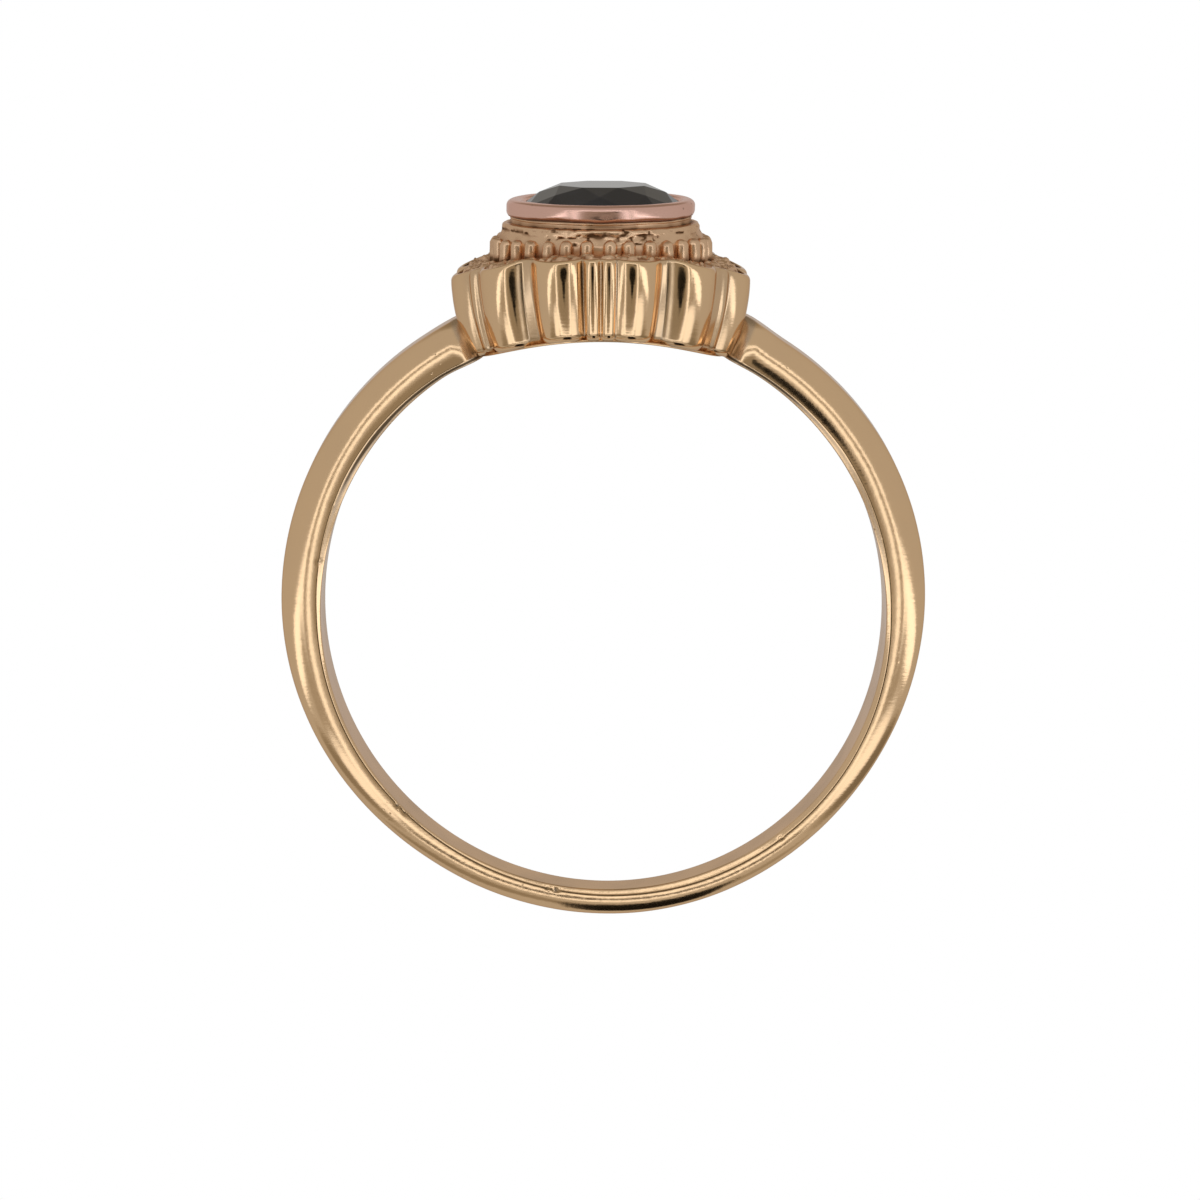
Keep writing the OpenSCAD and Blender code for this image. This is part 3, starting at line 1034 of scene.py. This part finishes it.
@dataclass(frozen=True)
class Stone:
    """The round sapphire: table, stars, kites, halves, girdle and pavilion."""

    centre_x: float = -0.03
    stone_r: float = 2.4
    table_r: float = 1.37
    girdle_z: float = GIRDLE_Z
    girdle_t: float = 0.06
    crown_h: float = 0.6
    pavilion_h: float = 1.75
    kite_share: float = 0.52
    lower_share: float = 0.25
    bevel: float = 0.018
    turn: float = 20.0

    def ring(self, n: int, first: float, r: float, z: float) -> list[tuple[float, float, float]]:
        """Points on a circle round the stone's axis.

        Args:
            n: number of points.
            first: direction of the first one in degrees.
            r: radius of the circle.
            z: its height.

        Returns:
            The points in the ring's frame.
        """
        out = []
        for k in range(n):
            a = radians(first + self.turn + 360 * k / n)
            out.append((self.centre_x + r * cos(a), r * sin(a), z))
        return out

    def points(self) -> Array:
        """The stone's corners.

        Returns:
            Corners of the table, kites, girdle and lower facets, and the culet.
        """
        half = 180 / 8
        inward = cos(radians(half))
        top = self.girdle_z + self.girdle_t / 2
        low = self.girdle_z - self.girdle_t / 2
        table_z, culet_z = top + self.crown_h, low - self.pavilion_h
        kite_r = mix(self.table_r, self.stone_r, self.kite_share)
        drop = (kite_r * inward - self.table_r) * self.crown_h / (self.stone_r - self.table_r)
        lower_r = self.stone_r * self.lower_share
        points = self.ring(8, 0, self.table_r, table_z)
        points += self.ring(8, half, kite_r, table_z - drop)
        points += self.ring(16, 0, self.stone_r, top)
        points += self.ring(16, 0, self.stone_r, low)
        points += self.ring(8, half, lower_r, culet_z + lower_r * inward * self.pavilion_h / self.stone_r)
        return np.array(points + [(self.centre_x, 0, culet_z)])

    @staticmethod
    def faces() -> list[tuple[int, ...]]:
        """The stone's facets as corner numbers.

        Returns:
            The table, and the facets of the crown, the pavilion and the girdle.
        """
        table, kite, top, low, lower, culet = 0, 8, 16, 32, 48, 56
        faces = [tuple(range(8))]
        for i in range(8):
            even, odd, after = 2 * i, 2 * i + 1, (2 * i + 2) % 16
            right, left = (i + 1) % 8, (i + 7) % 8
            faces.append((table + i, kite + i, table + right))
            faces.append((table + i, kite + left, top + even, kite + i))
            faces.append((kite + i, top + even, top + odd))
            faces.append((kite + i, top + odd, top + after))
            faces.append((low + even, lower + i, low + odd))
            faces.append((low + odd, lower + i, low + after))
            faces.append((low + even, lower + left, culet, lower + i))
        for i in range(16):
            right = (i + 1) % 16
            faces.append((top + i, low + i, low + right, top + right))
        return faces

    def build(self, frame: RingFrame, material: Material) -> Object:
        """Makes the faceted stone with slightly worn facet edges.

        Args:
            frame: how the ring lies.
            material: the piece's finish.

        Returns:
            The new object, riding on the body.
        """
        obj = plain_mesh("stone", [tuple(v) for v in frame.to_row(self.points())], self.faces())
        edge = obj.modifiers.new("worn_edges", "BEVEL")
        edge.width = self.bevel * MM
        edge.segments = 2
        edge.limit_method = "ANGLE"
        edge.angle_limit = radians(4)
        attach(obj, BODY)
        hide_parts("sapphire")
        dress(obj, material)
        return obj


# Finishes


class Graph:
    """Small helper that adds linked shader nodes to a tree."""

    def __init__(self, tree: bpy.types.NodeTree) -> None:
        """Empties the tree."""
        self.tree = tree
        self.tree.nodes.clear()

    def add(self, kind: str, inputs: dict[str | int, object], **settings: object) -> bpy.types.Node:
        """Adds a node.

        Args:
            kind: the node's Blender type.
            inputs: socket name or number to a value or an output socket.
            settings: properties of the node.

        Returns:
            The new node.
        """
        node = self.tree.nodes.new(kind)
        for key, value in settings.items():
            setattr(node, key, value)
        for key, value in inputs.items():
            if isinstance(value, Socket):
                self.tree.links.new(value, node.inputs[key])
            else:
                node.inputs[key].default_value = value
        return node

    def math(self, operation: str, *inputs: Input, clamp: bool = False) -> Socket:
        """A math node's result, kept between 0 and 1 if clamped."""
        node = self.add("ShaderNodeMath", dict(enumerate(inputs)), operation=operation, use_clamp=clamp)
        return node.outputs[0]

    def times(self, a: Input, b: Input, plus: Input = 0.0, clamp: bool = False) -> Socket:
        """The product of a and b, plus a third value; kept between 0 and 1 if clamped."""
        return self.math("MULTIPLY_ADD", a, b, plus, clamp=clamp)

    def mix_colour(self, share: Socket, a: Socket | tuple, b: Socket | tuple) -> Socket:
        """A colour between a and b."""
        return self.add("ShaderNodeMix", {0: share, 6: a, 7: b}, data_type="RGBA").outputs[2]

    def step(self, value: Socket, low: float, high: float) -> Socket:
        """Smooth step of value from low to high."""
        inputs = {"Value": value, "From Min": low, "From Max": high, "To Min": 0.0, "To Max": 1.0}
        return self.add("ShaderNodeMapRange", inputs, interpolation_type="SMOOTHSTEP").outputs[0]

    def noise(self, place: Socket, scale: float, detail: float, roughness: float = 0.5) -> Socket:
        """A noise texture's value."""
        inputs = {"Vector": place, "Scale": scale, "Detail": detail, "Roughness": roughness}
        return self.add("ShaderNodeTexNoise", inputs).outputs["Fac"]


def new_material(name: str) -> tuple[Material, Graph]:
    """Makes a material.

    Args:
        name: its name.

    Returns:
        The material, and the empty graph of its nodes.
    """
    mat = bpy.data.materials.new(name)
    mat.use_nodes = True
    return mat, Graph(mat.node_tree)


@dataclass(frozen=True)
class GoldFinish:
    """Worn polished gold with patina, and painted shade, in its recesses.

    Args:
        name: name of the material.
        colour: reflected colour of the clean metal.
        patina: colour of the recesses, for their patina and for their painted shade.
        roughness: roughness of the polished faces.
        wear: how strong the fine scratches and pits are, from 0 to 1.
        grazing: tint of what it reflects at a grazing angle.
    """

    name: str
    colour: Colour
    patina: Colour
    roughness: float
    wear: float
    grazing: Colour = (0.84, 0.73, 0.65)

    CLOUD = 420.0
    GRAIN = 5200.0
    SPECK = 3600.0
    LINES = (900, 14000, 5200)
    LINES_TURN = (0.5, 0.3, 0.9)
    # share of the patina colour left where it is darkest: real pits, and painted shade
    DEEPEST = (0.17, 0.135, 0.08)
    RELIEF = 2.4e-6

    def material(self) -> Material:
        """Makes the finish.

        Returns:
            The Blender material.
        """
        mat, g = new_material(self.name)
        place = g.add("ShaderNodeTexCoord", {}).outputs["Object"]
        recess = g.add("ShaderNodeAttribute", {}, attribute_name="recess").outputs["Fac"]
        cloud = g.noise(place, self.CLOUD, 3.0, 0.6)
        grain = g.noise(place, self.GRAIN, 4.0, 0.65)
        speck = g.add("ShaderNodeTexVoronoi", {"Vector": place, "Scale": self.SPECK, "Randomness": 1.0})
        # patina and painted shade: the recess value, broken up by noise
        patina = (*self.patina, 1)
        broken = g.times(cloud, 0.7, -0.35)
        broken = g.times(broken, g.step(recess, 0.02, 0.3))
        darkening = g.math("ADD", recess, broken, clamp=True)
        tint = g.mix_colour(g.times(cloud, 0.25), (*self.colour, 1), patina)
        base = g.mix_colour(g.step(darkening, 0.1, 0.95), tint, patina)
        pit = g.math("SUBTRACT", 1.0, g.step(speck.outputs["Distance"], 0.05, 0.16))
        pit = g.times(g.times(pit, g.step(cloud, 0.56, 0.66)), self.wear)
        # the darkest places turn nearly black: real pits, and painted shade in gaps and under parts
        deep = g.times(g.step(darkening, 0.7, 1.0), 0.9)
        deep = g.math("MAXIMUM", g.times(pit, 0.7), deep)
        deepest = (*(p * share for p, share in zip(self.patina, self.DEEPEST)), 1)
        base = g.mix_colour(deep, base, deepest)
        rough = g.times(grain, 0.1 * self.wear, self.roughness - 0.05 * self.wear)
        rough = g.times(g.step(darkening, 0.1, 0.9), 0.22, rough, clamp=True)
        # bump: polishing lines, fine grain and the rare pits
        turned = {"Vector": place, "Rotation": self.LINES_TURN, "Scale": self.LINES}
        lines = g.noise(g.add("ShaderNodeMapping", turned).outputs[0], 1.0, 2.0)
        height = g.times(grain, 0.7, g.times(lines, 0.5))
        height = g.times(pit, -6.0, height)
        relief = {"Height": height, "Strength": 1.0, "Distance": self.RELIEF * self.wear}
        inputs = {
            "Metallic": 1.0,
            "Specular Tint": (*self.grazing, 1),
            "Base Color": base,
            "Roughness": rough,
            "Normal": g.add("ShaderNodeBump", relief).outputs[0],
        }
        shader = g.add("ShaderNodeBsdfPrincipled", inputs)
        g.add("ShaderNodeOutputMaterial", {0: shader.outputs[0]})
        return mat


@dataclass(frozen=True)
class SapphireFinish:
    """A very dark blue stone that shows grey reflections, with painted glints in paler patches."""

    colour: Colour = (0.006, 0.007, 0.013)
    glint_lift: Colour = (2.4, 2.4, 2.1)
    roughness: float = 0.03
    ior: float = 1.77
    relief: float = 2.5e-7

    def material(self) -> Material:
        """Makes the finish.

        Returns:
            The Blender material.
        """
        mat, g = new_material("sapphire_dark")
        place = g.add("ShaderNodeTexCoord", {}).outputs["Object"]
        # painted glints: random patches of paler body colour
        glint_patches = g.step(g.noise(place, 700.0, 2.0), 0.35, 0.7)
        light = (*(c * share for c, share in zip(self.colour, self.glint_lift)), 1)
        fine = {"Height": g.noise(place, 6000.0, 3.0), "Strength": 1.0, "Distance": self.relief}
        inputs = {
            "Roughness": self.roughness,
            "IOR": self.ior,
            "Base Color": g.mix_colour(glint_patches, (*self.colour, 1), light),
            "Normal": g.add("ShaderNodeBump", fine).outputs[0],
        }
        shader = g.add("ShaderNodeBsdfPrincipled", inputs)
        g.add("ShaderNodeOutputMaterial", {0: shader.outputs[0]})
        return mat


# Studio


@dataclass(frozen=True)
class Camera:
    """The camera of the photograph: its lens and its place over the ring."""

    focal_px: float = 4150.0
    image_px: float = 1200.0
    distance: float = 127.0
    elevation: float = 10.4
    right_px: float = 3.5
    down_px: float = 9.0

    def build(self, frame: RingFrame) -> None:
        """Makes the camera and hands it to the scene.

        Args:
            frame: how the ring lies.
        """
        e = radians(self.elevation)
        right = frame.direction((1, 0, 0))
        up = frame.direction((0, sin(e), cos(e)))
        forward = frame.direction((0, cos(e), -sin(e)))
        scale = self.distance / self.focal_px * MM
        place = Vector(frame.centre) - forward * (self.distance * MM)
        place += up * (self.down_px * scale) - right * (self.right_px * scale)
        data = bpy.data.cameras.new("camera")
        data.sensor_width = 36
        data.lens = 36 * self.focal_px / self.image_px
        data.clip_start, data.clip_end = 0.001, 5
        obj = add_object("camera", data)
        turn = Matrix((right, up, -forward)).transposed()
        obj.matrix_world = Matrix.Translation(place) @ turn.to_4x4()
        bpy.context.scene.camera = obj


class Form(Enum):
    """The outlines that a light or a dark area of the booth can have."""

    OVAL = "oval"
    SQUARISH = "squarish"
    FRAME = "frame"


@dataclass(frozen=True)
class Area:
    """A light or dark area of the photo booth, as the ring sees it.

    Args:
        name: what it is.
        centre: degrees to the right of and above the photographer.
        half: half width and half height in degrees; of a frame's middle line.
        level: its brightness.
        soft: share of its size over which its edge fades; of a frame its half width.
        turn: degrees by which it is turned.
        form: its outline.
    """

    name: str
    centre: tuple[float, float]
    half: tuple[float, float]
    level: float
    soft: float = 0.2
    turn: float = 0.0
    form: Form = Form.OVAL


@dataclass(frozen=True)
class Studio:
    """A pale floor and the soft light of a small photo booth."""

    frame: RingFrame
    floor_r: float = 400.0
    floor_drop: float = 0.02
    floor_sides: int = 64
    walls: float = 0.5
    back_wall: float = 0.57
    back_from: float = 148.0
    back_to: float = 160.0
    dim_tint: Colour = (1.0, 0.88, 0.68)

    AREAS = (
        Area("dark ceiling", (0, 117), (92, 27), 0.28, 0.25),
        Area("outer rim of the opening", (0, -8), (40.5, 50.5), 1.3, 0.055, form=Form.FRAME),
        Area("shade between the rims", (0, -8), (36.5, 46.5), 0.35, 0.04, form=Form.FRAME),
        Area("left post", (-41.5, -34), (5.5, 17), 0.4, 0.4),
        Area("right post", (41.5, -34), (5.5, 17), 0.4, 0.4),
        Area("shade on the left", (-51, -55), (15, 10), 0.28, 0.4),
        Area("shade on the right", (67, -62), (25, 14), 0.22, 0.4, -20),
        Area("left lamp", (-53, -22), (19, 5), 1.4, 0.3, 56),
        Area("right lamp", (57, -19), (21, 6.5), 1.5, 0.3, -41),
        Area("gap under the opening", (0, -54), (34, 2.8), 0.12, 0.3),
        Area("inner rim of the opening", (0, -8), (31, 40.5), 1.3, 0.09, form=Form.FRAME),
        Area("left corner of the rim", (-36, -45), (8, 8), 1.2, 0.5),
        Area("right corner of the rim", (42, -42), (14, 9), 1.2, 0.5),
        Area("dim room behind the opening", (0, -10), (22.5, 33.5), 0.3, 0.12, form=Form.SQUARISH),
        Area("camera", (4, -16.5), (15, 8), 0.008, 0.16),
        Area("tripod", (4, -22.5), (6.5, 9.5), 0.01, 0.2),
        Area("arm", (18, 7), (9.5, 5.5), 0.01, 0.2, 100),
        Area("shade left of the stand", (-29, -76), (23, 7), 0.29, 0.4, 8),
        Area("shade right of the stand", (35, -79), (15, 6), 0.36, 0.4, -8),
        Area("stand", (8.5, -84), (17, 15), 0.01, 0.12, form=Form.SQUARISH),
    )

    def build(self) -> None:
        """Makes the floor and the light."""
        self.floor()
        self.light()
        bpy.context.scene.view_settings.view_transform = "Standard"

    def floor(self) -> None:
        """Makes a round pale floor that glows a little, as a light table does."""
        n, reach = self.floor_sides, self.floor_r * MM
        turns = [2 * pi * i / n for i in range(n)]
        verts = [(0.0, 0.0, 0.0)] + [(reach * cos(a), reach * sin(a), 0.0) for a in turns]
        faces = [(0, 1 + i, 1 + (i + 1) % n) for i in range(n)]
        obj = plain_mesh("floor", verts, faces)
        obj.location.z = -self.floor_drop * MM
        obj.visible_glossy = False
        mat, g = new_material("pale_floor")
        shader = g.add("ShaderNodeEmission", {"Color": (1, 1, 1, 1), "Strength": 1.0})
        g.add("ShaderNodeOutputMaterial", {0: shader.outputs[0]})
        dress(obj, mat)

    def light(self) -> None:
        """Makes the booth's light as a world that depends on direction alone."""
        world = bpy.data.worlds.new("booth")
        bpy.context.scene.world = world
        world.use_nodes = True
        g = Graph(world.node_tree)
        toward = g.add("ShaderNodeTexCoord", {}).outputs["Generated"]
        parts = []
        for axis in ((1, 0, 0), (0, -1, 0), (0, 0, 1)):
            inputs = {0: toward, 1: self.frame.direction(axis)}
            parts.append(g.add("ShaderNodeVectorMath", inputs, operation="DOT_PRODUCT").outputs["Value"])
        x, front, z = parts
        front = g.math("MINIMUM", g.math("MAXIMUM", front, -1.0), 1.0)
        angle = g.times(g.math("ARCCOSINE", front), 180 / pi)
        side = g.math("ADD", g.times(x, x), g.times(z, z, 1e-9))
        scale = g.math("DIVIDE", angle, g.math("SQRT", side))
        px, pz = g.times(scale, x), g.times(scale, z)
        back = g.step(angle, self.back_from, self.back_to)
        level = g.times(back, self.back_wall - self.walls, self.walls)
        for area in self.AREAS:
            change = g.math("SUBTRACT", area.level, level)
            level = g.times(self.mask(g, area, px, pz), change, level)
            LOG.debug("light: %s", area.name)
        tint = g.mix_colour(g.step(level, 0.2, 0.7), (*self.dim_tint, 1), (1, 1, 1, 1))
        shader = g.add("ShaderNodeBackground", {"Color": tint, "Strength": level})
        g.add("ShaderNodeOutputWorld", {0: shader.outputs[0]})

    @staticmethod
    def mask(g: Graph, area: Area, px: Socket, pz: Socket) -> Socket:
        """How much of an area covers a direction.

        Args:
            g: the world's graph.
            area: the area.
            px: degrees to the right of the photographer.
            pz: degrees above the photographer.

        Returns:
            The share from 0 to 1.
        """
        turn = radians(area.turn)
        across, up = (cos(turn), sin(turn)), (-sin(turn), cos(turn))
        places = []
        for (cx, cz), half in zip((across, up), area.half):
            start = -(cx * area.centre[0] + cz * area.centre[1]) / half
            along = g.times(px, cx / half, start) if cx else start
            places.append(g.times(pz, cz / half, along) if cz else along)
        u, v = (g.times(p, p) for p in places)
        if area.form is Form.OVAL:
            reach = g.math("ADD", u, v)
            return g.step(reach, (1 + area.soft) ** 2, (1 - area.soft) ** 2)
        reach = g.times(u, u, g.times(v, v))
        if area.form is Form.FRAME:
            off = g.math("ABSOLUTE", g.math("SUBTRACT", reach, 1.0))
            return g.step(off, 5.6 * area.soft, 1.6 * area.soft)
        return g.step(reach, (1 + area.soft) ** 4, (1 - area.soft) ** 4)


# Scene


def main() -> None:
    """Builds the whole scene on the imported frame."""
    logging.basicConfig(level=logging.INFO, format="%(name)s: %(message)s")
    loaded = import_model()
    frame = RingFrame.from_record(loaded["record"])
    LOG.info("tilt %.3f degrees", degrees(frame.tilt))

    Camera().build(frame)
    yellow = GoldFinish("yellow_gold_worn", (0.95, 0.66, 0.39), (0.52, 0.41, 0.31), 0.11, 1.0)
    aged = GoldFinish("yellow_gold_aged", (0.94, 0.65, 0.43), (0.45, 0.26, 0.15), 0.24, 1.0)
    rose = GoldFinish("rose_gold_worn", (0.97, 0.63, 0.54), (0.5, 0.24, 0.14), 0.2, 0.8, (0.92, 0.82, 0.78))
    cup = Cup()
    finishes = {
        yellow: (Band(cup), cup),
        aged: (Deck(cup), Grains(), Collar()),
        rose: (Bezel(),),
        SapphireFinish(): (Stone(),),
    }
    for finish, pieces in finishes.items():
        material = finish.material()
        for piece in pieces:
            obj = piece.build(frame, material)
            LOG.info("%s: %d faces, %s", obj.name, len(obj.data.polygons), material.name)
    Studio(frame).build()

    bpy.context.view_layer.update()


if __name__ == "__main__":
    main()
